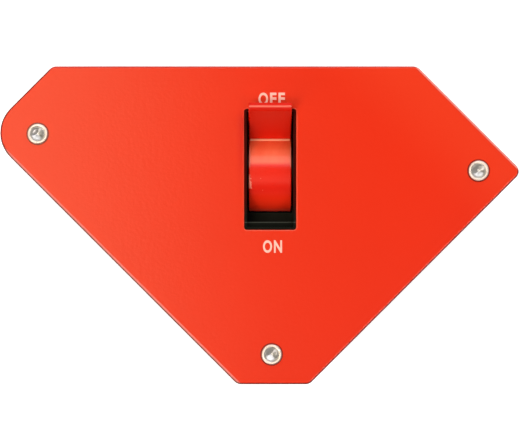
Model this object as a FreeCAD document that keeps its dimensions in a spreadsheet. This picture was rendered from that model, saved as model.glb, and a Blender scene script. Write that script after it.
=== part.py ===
import FreeCAD, Part
import math
import os
import re
import Sketcher

# Switchable magnetic welding holder: two steel pole plates with a moulded core between them.
# A thumb lever turns two block magnets by a quarter turn, which sends their flux into the plates
# (ON) or keeps it inside (OFF).  It lies on its back: X along the plates, Y across them, Z out of
# the front plate.  The origin is under the middle of the plates, at the rear rivet heads.

SIZES = {
    # pole plates
    "plate_length": 190.0,
    "plate_height": 116.5,
    "plate_thickness": 3.0,
    "nose_height": 92.1,
    "tip_height": 78.0,
    "nose_radius": 12.7,
    "tip_radius": 3.0,
    "corner_radius": 3.5,
    "edge_round": 0.8,
    "body_gap": 29.0,
    # pivot of the lever and the slot that it stands in
    "pivot_shift": 3.9,
    "pivot_height": 77.65,
    "slot_width": 19.0,
    "slot_height": 44.3,
    "slot_rise": 1.1,
    "slot_corner": 1.0,
    "slot_round": 0.5,
    # rivets and their spacer tubes
    "shank_diameter": 5.0,
    "head_diameter": 7.5,
    "head_height": 0.8,
    "dish_diameter": 5.5,
    "dish_depth": 1.6,
    "pit_diameter": 1.8,
    "head_round": 0.3,
    "rivet_clearance": 0.1,
    "nose_rivet_inset": 13.8,
    "nose_rivet_drop": 0.35,
    "tip_rivet_inset": 14.8,
    "tip_rivet_rise": 0.25,
    "foot_rivet_inset": 11.0,
    "foot_rivet_shift": 0.6,
    "spacer_diameter": 10.0,
    "spacer_clearance": 0.05,
    # moulded core halves
    "core_inset": 2.2,
    "core_wall": 2.4,
    "core_floor": 2.0,
    "boss_wall": 1.7,
    "rib_thickness": 2.0,
    "rib_pitch": 18.0,
    "housing_wall": 2.5,
    "finger_floor": 2.0,
    "peg_diameter": 4.0,
    "peg_length": 3.0,
    "peg_clearance": 0.15,
    "peg_offset": 18.0,
    "peg_boss_wall": 2.0,
    # switch lever
    "lever_width": 15.4,
    "lever_radius": 14.2,
    "lever_clearance": 0.7,
    "lever_side_gap": 0.6,
    "hub_radius": 8.0,
    "stop_half_width": 2.0,
    "stop_gap": 0.3,
    "stop_clearance": 0.5,
    "spigot_side": 12.0,
    "spigot_length": 4.0,
    "spigot_clearance": 0.05,
    "lip_rise": 12.0,
    "lip_groove_depth": 1.0,
    "lip_groove_width": 1.0,
    "tab_foot_rise": 12.9,
    "tab_foot_reach": 7.4,
    "tab_tip_rise": 23.6,
    "tab_tip_reach": 26.3,
    "tab_end_rise": 2.1,
    "tab_end_drop": 1.2,
    "tab_root_rise": 13.6,
    "tab_root_reach": 3.5,
    "tab_root_fall": 2.0,
    "tab_back_rise": 15.1,
    "tab_back_reach": 6.0,
    "tab_face_radius": 74.0,
    "tab_tip_round": 1.0,
    "lever_edge_round": 0.7,
    # slot frame
    "frame_gap": 0.1,
    "frame_wall": 0.85,
    "frame_flange": 3.1,
    "frame_flange_thickness": 1.9,
    "frame_ledge_depth": 0.6,
    "frame_setback": 0.5,
    "frame_opening_height": 38.6,
    # magnet rotor
    "carrier_radius": 12.2,
    "carrier_gap": 0.3,
    "rotor_clearance": 0.5,
    "inner_wall": 5.7,
    "outer_wall": 2.7,
    "end_clearance": 0.6,
    "magnet_length": 18.6,
    "magnet_width": 16.0,
    "magnet_thickness": 14.0,
    "magnet_chamfer": 0.4,
    "journal_diameter": 8.0,
    "journal_length": 7.0,
    "journal_clearance": 0.05,
    "bush_diameter": 11.0,
    "bush_length": 6.0,
    "bush_seat_clearance": 0.02,
    "pin_diameter": 2.0,
    "pin_length": 21.0,
    "pin_wall": 0.4,
    "pin_slit": 0.4,
    "pin_clearance": 0.02,
    # fixed pole shoes
    "shoe_width": 18.0,
    "shoe_length": 20.0,
    "shoe_clearance": 0.1,
    # detent that holds the lever at OFF and at ON
    "ball_diameter": 5.0,
    "ball_reach": 9.0,
    "ball_engagement": 0.4,
    "ball_clearance": 0.15,
    "ball_bore_clearance": 0.1,
    "dimple_diameter": 3.4,
    "dimple_depth": 1.2,
    "spring_diameter": 4.4,
    "spring_wire": 0.45,
    "spring_travel": 4.6,
    "spring_seat": 0.02,
    "spring_turns": 5.0,
}

os.makedirs("parts", exist_ok=True)
doc = FreeCAD.newDocument("MagnetHolder")
sheet = doc.addObject("Spreadsheet::Sheet", "Sizes")
for row, (alias, size) in enumerate(SIZES.items(), start=1):
    sheet.set(f"A{row}", alias.replace("_", " "))
    sheet.set(f"B{row}", str(size))
    sheet.setAlias(f"B{row}", alias)
doc.recompute()

NAME = re.compile(r"[a-z][a-z_]+")


def bound(formula):
    """Write a formula of size names as a spreadsheet expression."""
    return NAME.sub(lambda word: f"Sizes.{word[0]}" if word[0] in SIZES else word[0], formula)


def value(formula):
    """The number that a formula of size names gives now."""
    return float(sheet.evalExpression(bound(formula)))


# Places that several pieces share, as formulas of the sizes above.
ROOT_HALF = "(sqrt(2)-1)"
HALF_HEIGHT = "plate_height/2"
PIVOT_Y = "(pivot_height-plate_height/2)"
REAR_INNER = "(head_height+plate_thickness)"
FRONT_INNER = f"({REAR_INNER}+body_gap)"
PIVOT_Z = f"({REAR_INNER}+body_gap/2)"
SLOT_Y = f"({PIVOT_Y}+slot_rise)"
NOSE_X = f"(-plate_length/2-nose_radius*{ROOT_HALF})"
TIP_X = f"(plate_length/2+tip_radius*{ROOT_HALF})"
NOSE_Y = "(nose_height-plate_height/2)"
TIP_Y = "(tip_height-plate_height/2)"
FOOT_LEFT_X = f"({NOSE_X}+nose_height)"
FOOT_RIGHT_X = f"({TIP_X}-tip_height)"
HEAD_LEFT_X = f"({NOSE_X}+plate_height-nose_height)"
HEAD_RIGHT_X = f"({TIP_X}-plate_height+tip_height)"
RIVETS = {
    "nose": ("(nose_rivet_inset-plate_length/2)", f"({NOSE_Y}-nose_rivet_drop)"),
    "tip": ("(plate_length/2-tip_rivet_inset)", f"({TIP_Y}+tip_rivet_rise)"),
    "foot": (f"(({FOOT_LEFT_X}+{FOOT_RIGHT_X})/2-foot_rivet_shift)", "(foot_rivet_inset-plate_height/2)"),
}
CARRIER_START = "(lever_width/2+carrier_gap)"
MAGNET_START = f"({CARRIER_START}+inner_wall)"
MAGNET_MIDDLE = f"({MAGNET_START}+magnet_length/2)"
CARRIER_END = f"({MAGNET_START}+magnet_length+outer_wall)"
CAVITY_END = f"({CARRIER_END}+end_clearance)"
BUSH_END = f"({CAVITY_END}+bush_length)"
BALL_X = f"({CARRIER_END}+ball_diameter/2-ball_engagement)"
COIL_RADIUS = "(spring_diameter-spring_wire)/2"
COIL_REACH = "((ball_diameter+spring_wire)/2+spring_seat)"
COIL_START = f"({BALL_X}+sqrt({COIL_REACH}*{COIL_REACH}-{COIL_RADIUS}*{COIL_RADIUS}))"
SPRING_END = f"({COIL_START}+spring_travel+spring_wire/2+spring_seat)"
HOUSING_HALF = f"({SPRING_END}+housing_wall)"
CAVITY_RADIUS = "(carrier_radius+rotor_clearance)"
CHAMBER_RADIUS = "(lever_radius+lever_clearance)"
CHAMBER_HALF = "(lever_width/2+lever_side_gap)"
STOP_FACE = "(stop_half_width+stop_gap)"
PIN_X = f"({CARRIER_START}+(spigot_length-carrier_gap)/2)"
OPENING_WIDTH = "(slot_width-2*frame_gap-2*frame_wall)"
SEAT_WIDTH = "(slot_width+2*frame_flange)"
SEAT_HEIGHT = "(slot_height+2*frame_flange)"
RIBS_EACH_SIDE = 4
EPS = 1e-4
QUARTER = 90.0


def bind(thing, prop, formula):
    thing.setExpression(prop, bound(formula))


def new_body(label, place=("0", "0", "0"), rotation=FreeCAD.Rotation()):
    """An empty body whose origin is held at a place given by size formulas."""
    body = doc.addObject("PartDesign::Body", label)
    body.Placement = FreeCAD.Placement(FreeCAD.Vector(), rotation)
    for axis, formula in zip("xyz", place):
        bind(body, f".Placement.Base.{axis}", formula)
    return body


def new_sketch(body, name, role="XY_Plane", right="0", up="0", lift="0"):
    """A sketch on one of the body's origin planes, shifted by size formulas."""
    plane = next(item for item in body.Origin.OriginFeatures if item.Role == role)
    sketch = body.newObject("Sketcher::SketchObject", name)
    sketch.AttachmentSupport = [(plane, "")]
    sketch.MapMode = "FlatFace"
    for axis, formula in zip("xyz", (right, up, lift)):
        bind(sketch, f".AttachmentOffset.Base.{axis}", formula)
    return sketch


def hold(sketch, kind, geometry, point, formula):
    """Tie one coordinate of a sketch point to a formula."""
    constraint = Sketcher.Constraint(kind, -1, 1, geometry, point, value(formula))
    bind(sketch, f"Constraints[{sketch.addConstraint(constraint)}]", formula)


def add_radius(sketch, geometry, formula):
    index = sketch.addConstraint(Sketcher.Constraint("Radius", geometry, value(formula)))
    bind(sketch, f"Constraints[{index}]", formula)


def arc_between(start, end, radius):
    """Short arc from start to end; the centre is on the left of that way if radius is positive."""
    middle = (start + end) * 0.5
    along = (end - start).normalize()
    left = FreeCAD.Vector(-along.y, along.x, 0)
    half_chord = (end - start).Length / 2
    side = math.copysign(1, radius)
    centre = middle + left * (side * math.sqrt(radius * radius - half_chord * half_chord))
    return Part.Arc(start, centre - left * (side * abs(radius)), end)


def outline(sketch, corners, bends=None):
    """Closed outline through corners given by formulas; bends gives the radius of a bent side."""
    bends = bends or {}
    first = sketch.GeometryCount
    count = len(corners)
    places = [FreeCAD.Vector(value(x), value(y), 0) for x, y in corners]
    for side, start in enumerate(places):
        end = places[(side + 1) % count]
        if side in bends:
            sketch.addGeometry(arc_between(start, end, value(bends[side])), False)
        else:
            sketch.addGeometry(Part.LineSegment(start, end), False)
    starts = []
    for side, start in enumerate(places):
        at_start = sketch.getPoint(first + side, 1).distanceToPoint(start) < EPS
        starts.append(1 if at_start else 2)
    for side, (x, y) in enumerate(corners):
        following = (side + 1) % count
        link = ("Coincident", first + side, 3 - starts[side], first + following, starts[following])
        sketch.addConstraint(Sketcher.Constraint(*link))
        hold(sketch, "DistanceX", first + side, starts[side], x)
        hold(sketch, "DistanceY", first + side, starts[side], y)
    for side, radius in bends.items():
        add_radius(sketch, first + side, f"abs({radius})")
    return sketch


def box_outline(sketch, width, height, x="0", y="0"):
    """A rectangle about a middle point."""
    left, right = f"{x}-({width})/2", f"{x}+({width})/2"
    low, high = f"{y}-({height})/2", f"{y}+({height})/2"
    return outline(sketch, [(left, low), (right, low), (right, high), (left, high)])


def circle(sketch, radius, x="0", y="0"):
    centre = FreeCAD.Vector(value(x), value(y), 0)
    index = sketch.addGeometry(Part.Circle(centre, FreeCAD.Vector(0, 0, 1), value(radius)), False)
    hold(sketch, "DistanceX", index, 3, x)
    hold(sketch, "DistanceY", index, 3, y)
    add_radius(sketch, index, radius)
    return sketch


def add_feature(body, kind, sketch, reverse):
    feature = body.newObject(f"PartDesign::{kind}", f"{sketch.Name}_{kind}")
    feature.Profile = sketch
    feature.Reversed = reverse
    sketch.Visibility = False
    return feature


def grew(body, before, sign):
    """Stop if the last feature didn't change the body's volume the way it should."""
    doc.recompute()
    change = (body.Tip.Shape.Volume - before) * sign
    if change <= EPS:
        raise ValueError(f"{body.Label}: {body.Tip.Name} changed the volume by {change:.4f}")


def pad(body, sketch, length, reverse=False, middle=False):
    before = body.Tip.Shape.Volume if body.Tip else 0.0
    feature = add_feature(body, "Pad", sketch, reverse)
    feature.SideType = "Symmetric" if middle else "One side"
    bind(feature, "Length", length)
    grew(body, before, 1)
    return feature


def pocket(body, sketch, length=None, reverse=False, middle=False):
    """Cut a sketch into the body: to a length, or right through both ways if none is given."""
    before = body.Tip.Shape.Volume
    feature = add_feature(body, "Pocket", sketch, reverse)
    feature.SideType = "Symmetric" if middle or length is None else "One side"
    if length is None:
        feature.Type = "ThroughAll"
    else:
        bind(feature, "Length", length)
    grew(body, before, -1)
    return feature


def turn(body, sketch, axis, cut=False, angle=None, reverse=False):
    """Revolve a sketch about one of its own axes, to add or to cut."""
    before = body.Tip.Shape.Volume if body.Tip else 0.0
    feature = add_feature(body, "Groove" if cut else "Revolution", sketch, reverse)
    feature.ReferenceAxis = (sketch, [axis])
    if angle is not None:
        feature.Angle = angle
    grew(body, before, -1 if cut else 1)
    return feature


def edge_feature(body, kind, test, size):
    """Round or chamfer the edges of the body's last feature that pass a test."""
    base = body.Tip
    names = [f"Edge{number}" for number, edge in enumerate(base.Shape.Edges, 1) if test(edge)]
    feature = body.newObject(f"PartDesign::{kind}", f"{base.Name}_{kind}")
    feature.Base = (base, names)
    bind(feature, "Radius" if kind == "Fillet" else "Size", size)
    doc.recompute()
    return feature


def along_at(direction, places):
    """Test for straight edges along X, Y or Z that pass through one of the places."""
    other = [axis for axis in "xyz" if axis != direction]

    def test(edge):
        ends = [vertex.Point for vertex in edge.Vertexes]
        if len(ends) != 2 or edge.Curve.TypeId != "Part::GeomLine":
            return False
        if any(abs(getattr(ends[0], axis) - getattr(ends[1], axis)) > EPS for axis in other):
            return False
        spot = [getattr(ends[0], axis) for axis in other]
        return any(math.dist(spot, place) < 10 * EPS for place in places)

    return test


def flat_rim(axis, level, outer_of=None):
    """Test for edges that lie in one plane across an axis, or only a face's outer ones."""
    outer = outer_of.OuterWire.Edges if outer_of else None

    def test(edge):
        box = edge.BoundBox
        low, high = getattr(box, f"{axis}Min"), getattr(box, f"{axis}Max")
        if abs(low - level) > 100 * EPS or abs(high - level) > 100 * EPS:
            return False
        return outer is None or any(edge.isSame(other) for other in outer)

    return test


def face_at(shape, level):
    """The largest flat face of a shape at a height."""
    faces = [face for face in shape.Faces if abs(face.BoundBox.ZMin - level) < 100 * EPS
             and abs(face.BoundBox.ZMax - level) < 100 * EPS]
    return max(faces, key=lambda face: face.Area)


def holder_corners(inset="0"):
    """Corners of the holder's six-sided outline, moved in by an inset."""
    side = f"{inset}*{ROOT_HALF}"
    return [
        (f"{NOSE_X}+{inset}*sqrt(2)", NOSE_Y),
        (f"{FOOT_LEFT_X}+{side}", f"{inset}-{HALF_HEIGHT}"),
        (f"{FOOT_RIGHT_X}-{side}", f"{inset}-{HALF_HEIGHT}"),
        (f"{TIP_X}-{inset}*sqrt(2)", TIP_Y),
        (f"{HEAD_RIGHT_X}-{side}", f"{HALF_HEIGHT}-{inset}"),
        (f"{HEAD_LEFT_X}+{side}", f"{HALF_HEIGHT}-{inset}"),
    ]


def round_holder_corners(body, inset="0"):
    """Round the upright corners of a holder-shaped pad: the nose, the tip and the four others."""
    spots = [(value(x), value(y)) for x, y in holder_corners(inset)]
    edge_feature(body, "Fillet", along_at("z", spots[:1]), f"nose_radius-{inset}")
    edge_feature(body, "Fillet", along_at("z", spots[3:4]), f"tip_radius-{inset}")
    edge_feature(body, "Fillet", along_at("z", spots[1:3] + spots[4:]), f"corner_radius-{inset}")


def rivet_holes(sketch, radius):
    for x, y in RIVETS.values():
        circle(sketch, radius, x, y)
    return sketch


def make_plate(label, base, outer, slotted):
    """A laser-cut steel pole plate; outer is the height of its outside face above its base."""
    body = new_body(label, ("0", "0", base))
    pad(body, outline(new_sketch(body, f"{label}_outline"), holder_corners()), "plate_thickness")
    round_holder_corners(body)
    pocket(body, rivet_holes(new_sketch(body, f"{label}_holes"), "shank_diameter/2+rivet_clearance"))
    level = value(outer)
    if slotted:
        opening = new_sketch(body, f"{label}_slot")
        pocket(body, box_outline(opening, "slot_width", "slot_height", "pivot_shift", SLOT_Y))
        half_width, half_height = value("slot_width/2"), value("slot_height/2")
        x, y = value("pivot_shift"), value(SLOT_Y)
        spots = [(x + i * half_width, y + j * half_height) for i in (-1, 1) for j in (-1, 1)]
        edge_feature(body, "Fillet", along_at("z", spots), "slot_corner")
        outer_face = face_at(body.Tip.Shape, level)
        inner_wires = [wire for wire in outer_face.Wires if not wire.isSame(outer_face.OuterWire)]
        slot_edges = max(inner_wires, key=lambda wire: wire.Length).Edges
        edge_feature(body, "Fillet", lambda edge: any(edge.isSame(rim) for rim in slot_edges), "slot_round")
    edge_feature(body, "Fillet", flat_rim("Z", level, face_at(body.Tip.Shape, level)), "edge_round")
    return body


def make_core(label, base, face, reverse, peg):
    """One half of the moulded core, from its plate (at height face) to the parting plane."""
    body = new_body(label, ("0", "0", base))
    depth, parting = "body_gap/2", f"(body_gap/2-{face})"

    def at_face(name):
        return new_sketch(body, f"{label}_{name}", lift=face)

    pad(body, outline(at_face("outline"), holder_corners("core_inset")), depth, reverse)
    round_holder_corners(body, "core_inset")
    hollow = new_sketch(body, f"{label}_hollow", lift=parting)
    pocket(body, outline(hollow, holder_corners("(core_inset+core_wall)")), f"{depth}-core_floor", reverse)
    housing = (f"2*{HOUSING_HALF}", f"2*({CHAMBER_RADIUS}+housing_wall)")
    pad(body, box_outline(at_face("housing"), *housing, "pivot_shift", PIVOT_Y), depth, reverse)
    pad(body, core_ribs(at_face("ribs")), depth, reverse)
    add_core_bosses(body, at_face, depth, reverse)
    if not peg:
        seat = ("core_wall*2+" + SEAT_WIDTH, "core_wall*2+" + SEAT_HEIGHT)
        pad(body, box_outline(at_face("seat_block"), *seat, "pivot_shift", SLOT_Y), depth, reverse)
    cut_rotor_room(body, label, parting)
    pocket(body, rivet_holes(at_face("bores"), "spacer_diameter/2+spacer_clearance"))
    return body


def core_ribs(sketch):
    """Upright ribs at an even pitch that reach into the perimeter wall and carry the plates."""
    wall = "(core_inset+core_wall/2)"
    slant = f"{wall}*sqrt(2)"
    nose, tip = f"{NOSE_X}+{slant}", f"{TIP_X}-{slant}"
    for step in range(-RIBS_EACH_SIDE, RIBS_EACH_SIDE + 1):
        middle = f"({step}*rib_pitch)"
        sides = (f"({middle}-rib_thickness/2)", f"({middle}+rib_thickness/2)")
        rises = [f"min({HALF_HEIGHT}-{wall};{NOSE_Y}+{x}-({nose});{TIP_Y}+{tip}-{x})" for x in sides]
        falls = [f"max({wall}-{HALF_HEIGHT};{NOSE_Y}-{x}+{nose};{TIP_Y}+{x}-({tip}))" for x in sides]
        corners = [(sides[0], falls[0]), (sides[1], falls[1]), (sides[1], rises[1]), (sides[0], rises[0])]
        outline(sketch, corners)
    return sketch


def add_core_bosses(body, at_face, depth, reverse):
    """Bosses round the spacer tubes, and ribs that tie them to the housing."""
    for key, (x, y) in RIVETS.items():
        pad(body, circle(at_face(f"{key}_boss"), "spacer_diameter/2+boss_wall", x, y), depth, reverse)
    nose_x, nose_y = RIVETS["nose"]
    tip_x, tip_y = RIVETS["tip"]
    foot_x, foot_y = RIVETS["foot"]
    half = "rib_thickness/2"
    housing_low = f"{PIVOT_Y}-{CHAMBER_RADIUS}-housing_wall"
    ribs = {
        "nose_rib": (nose_x, f"pivot_shift-{HOUSING_HALF}", f"{nose_y}-{half}", f"{nose_y}+{half}"),
        "tip_rib": (f"pivot_shift+{HOUSING_HALF}", tip_x, f"{tip_y}-{half}", f"{tip_y}+{half}"),
        "foot_rib": (f"{foot_x}-{half}", f"{foot_x}+{half}", foot_y, housing_low),
    }
    for name, (left, right, low, high) in ribs.items():
        corners = [(left, low), (right, low), (right, high), (left, high)]
        pad(body, outline(at_face(name), corners), depth, reverse)
    for key, x in (("nose", f"({nose_x}+peg_offset)"), ("tip", f"({tip_x}-peg_offset)")):
        place = (x, RIVETS[key][1])
        pad(body, circle(at_face(f"{key}_peg_boss"), "peg_diameter/2+peg_boss_wall", *place), depth, reverse)


def cut_rotor_room(body, label, parting):
    """Turned room about the pivot line for lever, carriers and bushes, and about the ball's line."""
    lathe = new_sketch(body, f"{label}_rotor_room", right="pivot_shift", up=PIVOT_Y, lift=parting)
    seat = "(bush_diameter/2+bush_seat_clearance)"
    shoulder = "(journal_diameter/2+rotor_clearance)"
    room_end = f"({CARRIER_END}+journal_length+end_clearance)"
    half = [(CHAMBER_HALF, CHAMBER_RADIUS), (CHAMBER_HALF, CAVITY_RADIUS), (CAVITY_END, CAVITY_RADIUS),
            (CAVITY_END, seat), (BUSH_END, seat), (BUSH_END, shoulder), (room_end, shoulder), (room_end, "0")]
    mirrored = [(f"-({x})", y) for x, y in reversed(half)]
    turn(body, outline(lathe, mirrored + half), "H_Axis", cut=True)
    line = {"right": "pivot_shift", "up": f"{PIVOT_Y}+ball_reach", "lift": parting}
    ball_room = new_sketch(body, f"{label}_ball_room", **line)
    back, front, bore = f"-{SPRING_END}", f"-{CARRIER_END}", "ball_diameter/2+ball_bore_clearance"
    corners = [(back, "0"), (front, "0"), (front, bore), (back, bore)]
    turn(body, outline(ball_room, corners), "H_Axis", cut=True)
    for side, sign in (("left", "-"), ("right", "")):
        window = new_sketch(body, f"{label}_{side}_window", right="pivot_shift", up=PIVOT_Y)
        size = ("shoe_length+2*shoe_clearance", "shoe_width+2*shoe_clearance")
        pocket(body, box_outline(window, *size, f"{sign}{MAGNET_MIDDLE}"))


def finish_rear_core(body):
    """The rib that stops the lever at OFF and at ON, and the locating pegs."""
    rib = new_sketch(body, "rear_core_stop", right="pivot_shift", up=PIVOT_Y)
    pad(body, box_outline(rib, "lever_width", "2*stop_half_width"), "body_gap/2-hub_radius-stop_clearance")
    for key, offset in (("nose", "+peg_offset"), ("tip", "-peg_offset")):
        x, y = RIVETS[key]
        sketch = new_sketch(body, f"rear_core_{key}_peg", lift="body_gap/2")
        pad(body, circle(sketch, "peg_diameter/2", x + offset, y), "peg_length")


def finish_front_core(body):
    """Room for the tab and the slot frame, and the sockets for the pegs."""
    top = "(frame_opening_height/2+slot_rise)"
    low = "(slot_rise-frame_opening_height/2)"
    half = f"{OPENING_WIDTH}/2"
    upper = new_sketch(body, "front_core_tab_room", right="pivot_shift", up=PIVOT_Y)
    pocket(body, outline(upper, [(f"-{half}", "0"), (half, "0"), (half, top), (f"-{half}", top)]))
    lower = new_sketch(body, "front_core_finger_room", right="pivot_shift", up=PIVOT_Y, lift="body_gap/2")
    corners = [(f"-{half}", low), (half, low), (half, "0"), (f"-{half}", "0")]
    pocket(body, outline(lower, corners), "body_gap/2-finger_floor")
    seat = new_sketch(body, "front_core_frame_seat", right="pivot_shift", up=SLOT_Y, lift="body_gap/2")
    size = (f"{SEAT_WIDTH}+2*frame_gap", f"{SEAT_HEIGHT}+2*frame_gap")
    pocket(body, box_outline(seat, *size), "frame_flange_thickness")
    for key, offset in (("nose", "+peg_offset"), ("tip", "-peg_offset")):
        x, y = RIVETS[key]
        sketch = new_sketch(body, f"front_core_{key}_socket")
        radius = "peg_diameter/2+peg_clearance"
        pocket(body, circle(sketch, radius, x + offset, y), "peg_length+peg_clearance", reverse=True)


def make_slot_frame():
    """Moulded frame that lines the slot; its base plane is the front plate's inner face."""
    body = new_body("slot_frame", ("pivot_shift", SLOT_Y, FRONT_INNER))
    pad(body, box_outline(new_sketch(body, "frame_flange_pad"), SEAT_WIDTH, SEAT_HEIGHT),
        "frame_flange_thickness", reverse=True)
    collar = ("slot_width-2*frame_gap", "slot_height-2*frame_gap")
    pad(body, box_outline(new_sketch(body, "frame_collar"), *collar), "plate_thickness-frame_setback")
    inside = (OPENING_WIDTH, "slot_height-2*frame_gap-2*frame_wall")
    room = new_sketch(body, "frame_room", lift="plate_thickness")
    pocket(body, box_outline(room, *inside), "plate_thickness+frame_ledge_depth")
    pocket(body, box_outline(new_sketch(body, "frame_opening"), OPENING_WIDTH, "frame_opening_height"))
    half_width, half_height = value(collar[0]) / 2, value(collar[1]) / 2
    spots = [(i * half_width, j * half_height) for i in (-1, 1) for j in (-1, 1)]
    edge_feature(body, "Fillet", along_at("z", spots), "slot_corner-frame_gap")
    return body


def make_lever():
    """The red switch lever: hub, quarter-open drum, thumb tab and square spigots, in one moulding."""
    body = new_body("switch_lever", ("pivot_shift", PIVOT_Y, PIVOT_Z))

    def side_sketch(name):
        return new_sketch(body, f"lever_{name}", "YZ_Plane")

    pad(body, circle(side_sketch("drum"), "lever_radius"), "lever_width", middle=True)
    far = "-2*lever_radius"
    notch = [(far, far), (STOP_FACE, far), (STOP_FACE, STOP_FACE), (far, STOP_FACE)]
    pocket(body, outline(side_sketch("notch"), notch), "lever_width+lever_side_gap", middle=True)
    pad(body, circle(side_sketch("hub"), "hub_radius"), "lever_width", middle=True)
    tab = [("hub_radius", "tab_root_reach-tab_root_fall"), ("tab_root_rise", "tab_root_reach"),
           ("tab_back_rise", "tab_back_reach"), ("tab_tip_rise+tab_end_rise", "tab_tip_reach-tab_end_drop"),
           ("tab_tip_rise", "tab_tip_reach"), ("tab_foot_rise", "tab_foot_reach"),
           ("hub_radius", "tab_back_reach")]
    pad(body, outline(side_sketch("tab"), tab, {4: "-tab_face_radius"}), "lever_width", middle=True)
    tips = [(value("tab_tip_rise"), value("tab_tip_reach")),
            (value("tab_tip_rise+tab_end_rise"), value("tab_tip_reach-tab_end_drop"))]
    edge_feature(body, "Fillet", along_at("x", tips), "tab_tip_round")
    half = value("lever_width/2")
    edge_feature(body, "Fillet", lambda edge: flat_rim("X", half)(edge) or flat_rim("X", -half)(edge),
                 "lever_edge_round")
    lip_reach = "sqrt(lever_radius*lever_radius-lip_rise*lip_rise)"
    groove = [("lip_rise", lip_reach), ("lip_rise+lip_groove_width/2", f"{lip_reach}-lip_groove_depth"),
              ("tab_foot_rise", "tab_foot_reach"), ("lip_rise", "tab_foot_reach+lip_groove_depth")]
    pocket(body, outline(side_sketch("lip_groove"), groove), "lever_width+lever_side_gap", middle=True)
    spigots = side_sketch("spigots")
    pad(body, box_outline(spigots, "spigot_side", "spigot_side"), "lever_width+2*spigot_length", middle=True)
    for side, sign in (("left", "-"), ("right", "")):
        hole = new_sketch(body, f"lever_{side}_pin_hole")
        pocket(body, circle(hole, "pin_diameter/2+pin_clearance", f"{sign}{PIN_X}"))
    return body


def make_carrier(label, spin, with_detent):
    """Moulded drum that holds one block magnet and turns with the lever; the left one is spun round."""
    rotation = FreeCAD.Rotation(FreeCAD.Vector(0, 0, 1), spin)
    body = new_body(label, ("pivot_shift", PIVOT_Y, PIVOT_Z), rotation)
    drum = new_sketch(body, f"{label}_drum", "YZ_Plane", lift=CARRIER_START)
    pad(body, circle(drum, "carrier_radius"), f"{CARRIER_END}-{CARRIER_START}")
    journal = new_sketch(body, f"{label}_journal", "YZ_Plane", lift=CARRIER_END)
    pad(body, circle(journal, "journal_diameter/2"), "journal_length")
    socket = new_sketch(body, f"{label}_socket", "YZ_Plane", lift=CARRIER_START)
    side = "spigot_side+2*spigot_clearance"
    pocket(body, box_outline(socket, side, side), "spigot_length", reverse=True)
    window = new_sketch(body, f"{label}_window", "XZ_Plane")
    pocket(body, box_outline(window, "magnet_length", "magnet_width", MAGNET_MIDDLE))
    pin_hole = new_sketch(body, f"{label}_pin_hole")
    pocket(body, circle(pin_hole, "pin_diameter/2+pin_clearance", PIN_X))
    if with_detent:
        cut_detent(body, label)
    return body


def cut_detent(body, label):
    """Arc groove that the ball runs in, with a dimple at each of its ends, on the drum's end face."""
    groove = new_sketch(body, f"{label}_groove")
    circle(groove, "ball_diameter/2+ball_clearance", BALL_X, "-ball_reach")
    turn(body, groove, "H_Axis", cut=True, angle=QUARTER)
    for name, place in (("off_dimple", ("-ball_reach", "0")), ("on_dimple", ("0", "-ball_reach"))):
        dimple = new_sketch(body, f"{label}_{name}", "YZ_Plane", lift=CARRIER_END)
        pocket(body, circle(dimple, "dimple_diameter/2", *place), "dimple_depth")


def make_magnet(label, sign):
    body = new_body(label, (f"pivot_shift{sign}{MAGNET_MIDDLE}", PIVOT_Y, PIVOT_Z))
    block = new_sketch(body, f"{label}_block")
    pad(body, box_outline(block, "magnet_length", "magnet_thickness"), "magnet_width", middle=True)
    edge_feature(body, "Chamfer", lambda edge: True, "magnet_chamfer")
    return body


def make_pole_cap(label, sign, spin):
    """Steel cap between the magnet and the drum's outside, curved to the drum's radius."""
    rotation = FreeCAD.Rotation(FreeCAD.Vector(1, 0, 0), spin)
    body = new_body(label, (f"pivot_shift{sign}{MAGNET_MIDDLE}", PIVOT_Y, PIVOT_Z), rotation)
    reach = "sqrt(carrier_radius*carrier_radius-magnet_width*magnet_width/4)"
    inner, half = "magnet_thickness/2", "magnet_width/2"
    corners = [(inner, f"-{half}"), (reach, f"-{half}"), (reach, half), (inner, half)]
    sketch = new_sketch(body, f"{label}_segment", "YZ_Plane")
    pad(body, outline(sketch, corners, {1: "carrier_radius"}), "magnet_length", middle=True)
    return body


def make_pole_shoe(label, sign, spin):
    """Fixed steel shoe between a plate and the rotor, hollowed to clear the drum."""
    rotation = FreeCAD.Rotation(FreeCAD.Vector(1, 0, 0), spin)
    body = new_body(label, (f"pivot_shift{sign}{MAGNET_MIDDLE}", PIVOT_Y, PIVOT_Z), rotation)
    half, back = "shoe_width/2", "-body_gap/2"
    reach = f"-sqrt({CAVITY_RADIUS}*{CAVITY_RADIUS}-shoe_width*shoe_width/4)"
    corners = [(f"-{half}", back), (half, back), (half, reach), (f"-{half}", reach)]
    sketch = new_sketch(body, f"{label}_section", "YZ_Plane")
    pad(body, outline(sketch, corners, {2: f"-{CAVITY_RADIUS}"}), "shoe_length", middle=True)
    return body


def make_bush(label, sign):
    """Sintered bush that a journal turns in."""
    body = new_body(label, (f"pivot_shift{sign}({CAVITY_END}+bush_length/2)", PIVOT_Y, PIVOT_Z))
    ring = new_sketch(body, f"{label}_ring", "YZ_Plane")
    circle(ring, "bush_diameter/2")
    circle(ring, "journal_diameter/2+journal_clearance")
    pad(body, ring, "bush_length", middle=True)
    return body


def make_roll_pin(label, sign):
    """Slit spring pin that ties a carrier to the lever's spigot."""
    body = new_body(label, (f"pivot_shift{sign}{PIN_X}", PIVOT_Y, PIVOT_Z))
    ring = new_sketch(body, f"{label}_ring")
    circle(ring, "pin_diameter/2")
    circle(ring, "pin_diameter/2-pin_wall")
    pad(body, ring, "pin_length", middle=True)
    slit = new_sketch(body, f"{label}_slit")
    pocket(body, box_outline(slit, "pin_diameter", "pin_slit", "pin_diameter/2"))
    return body


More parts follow.
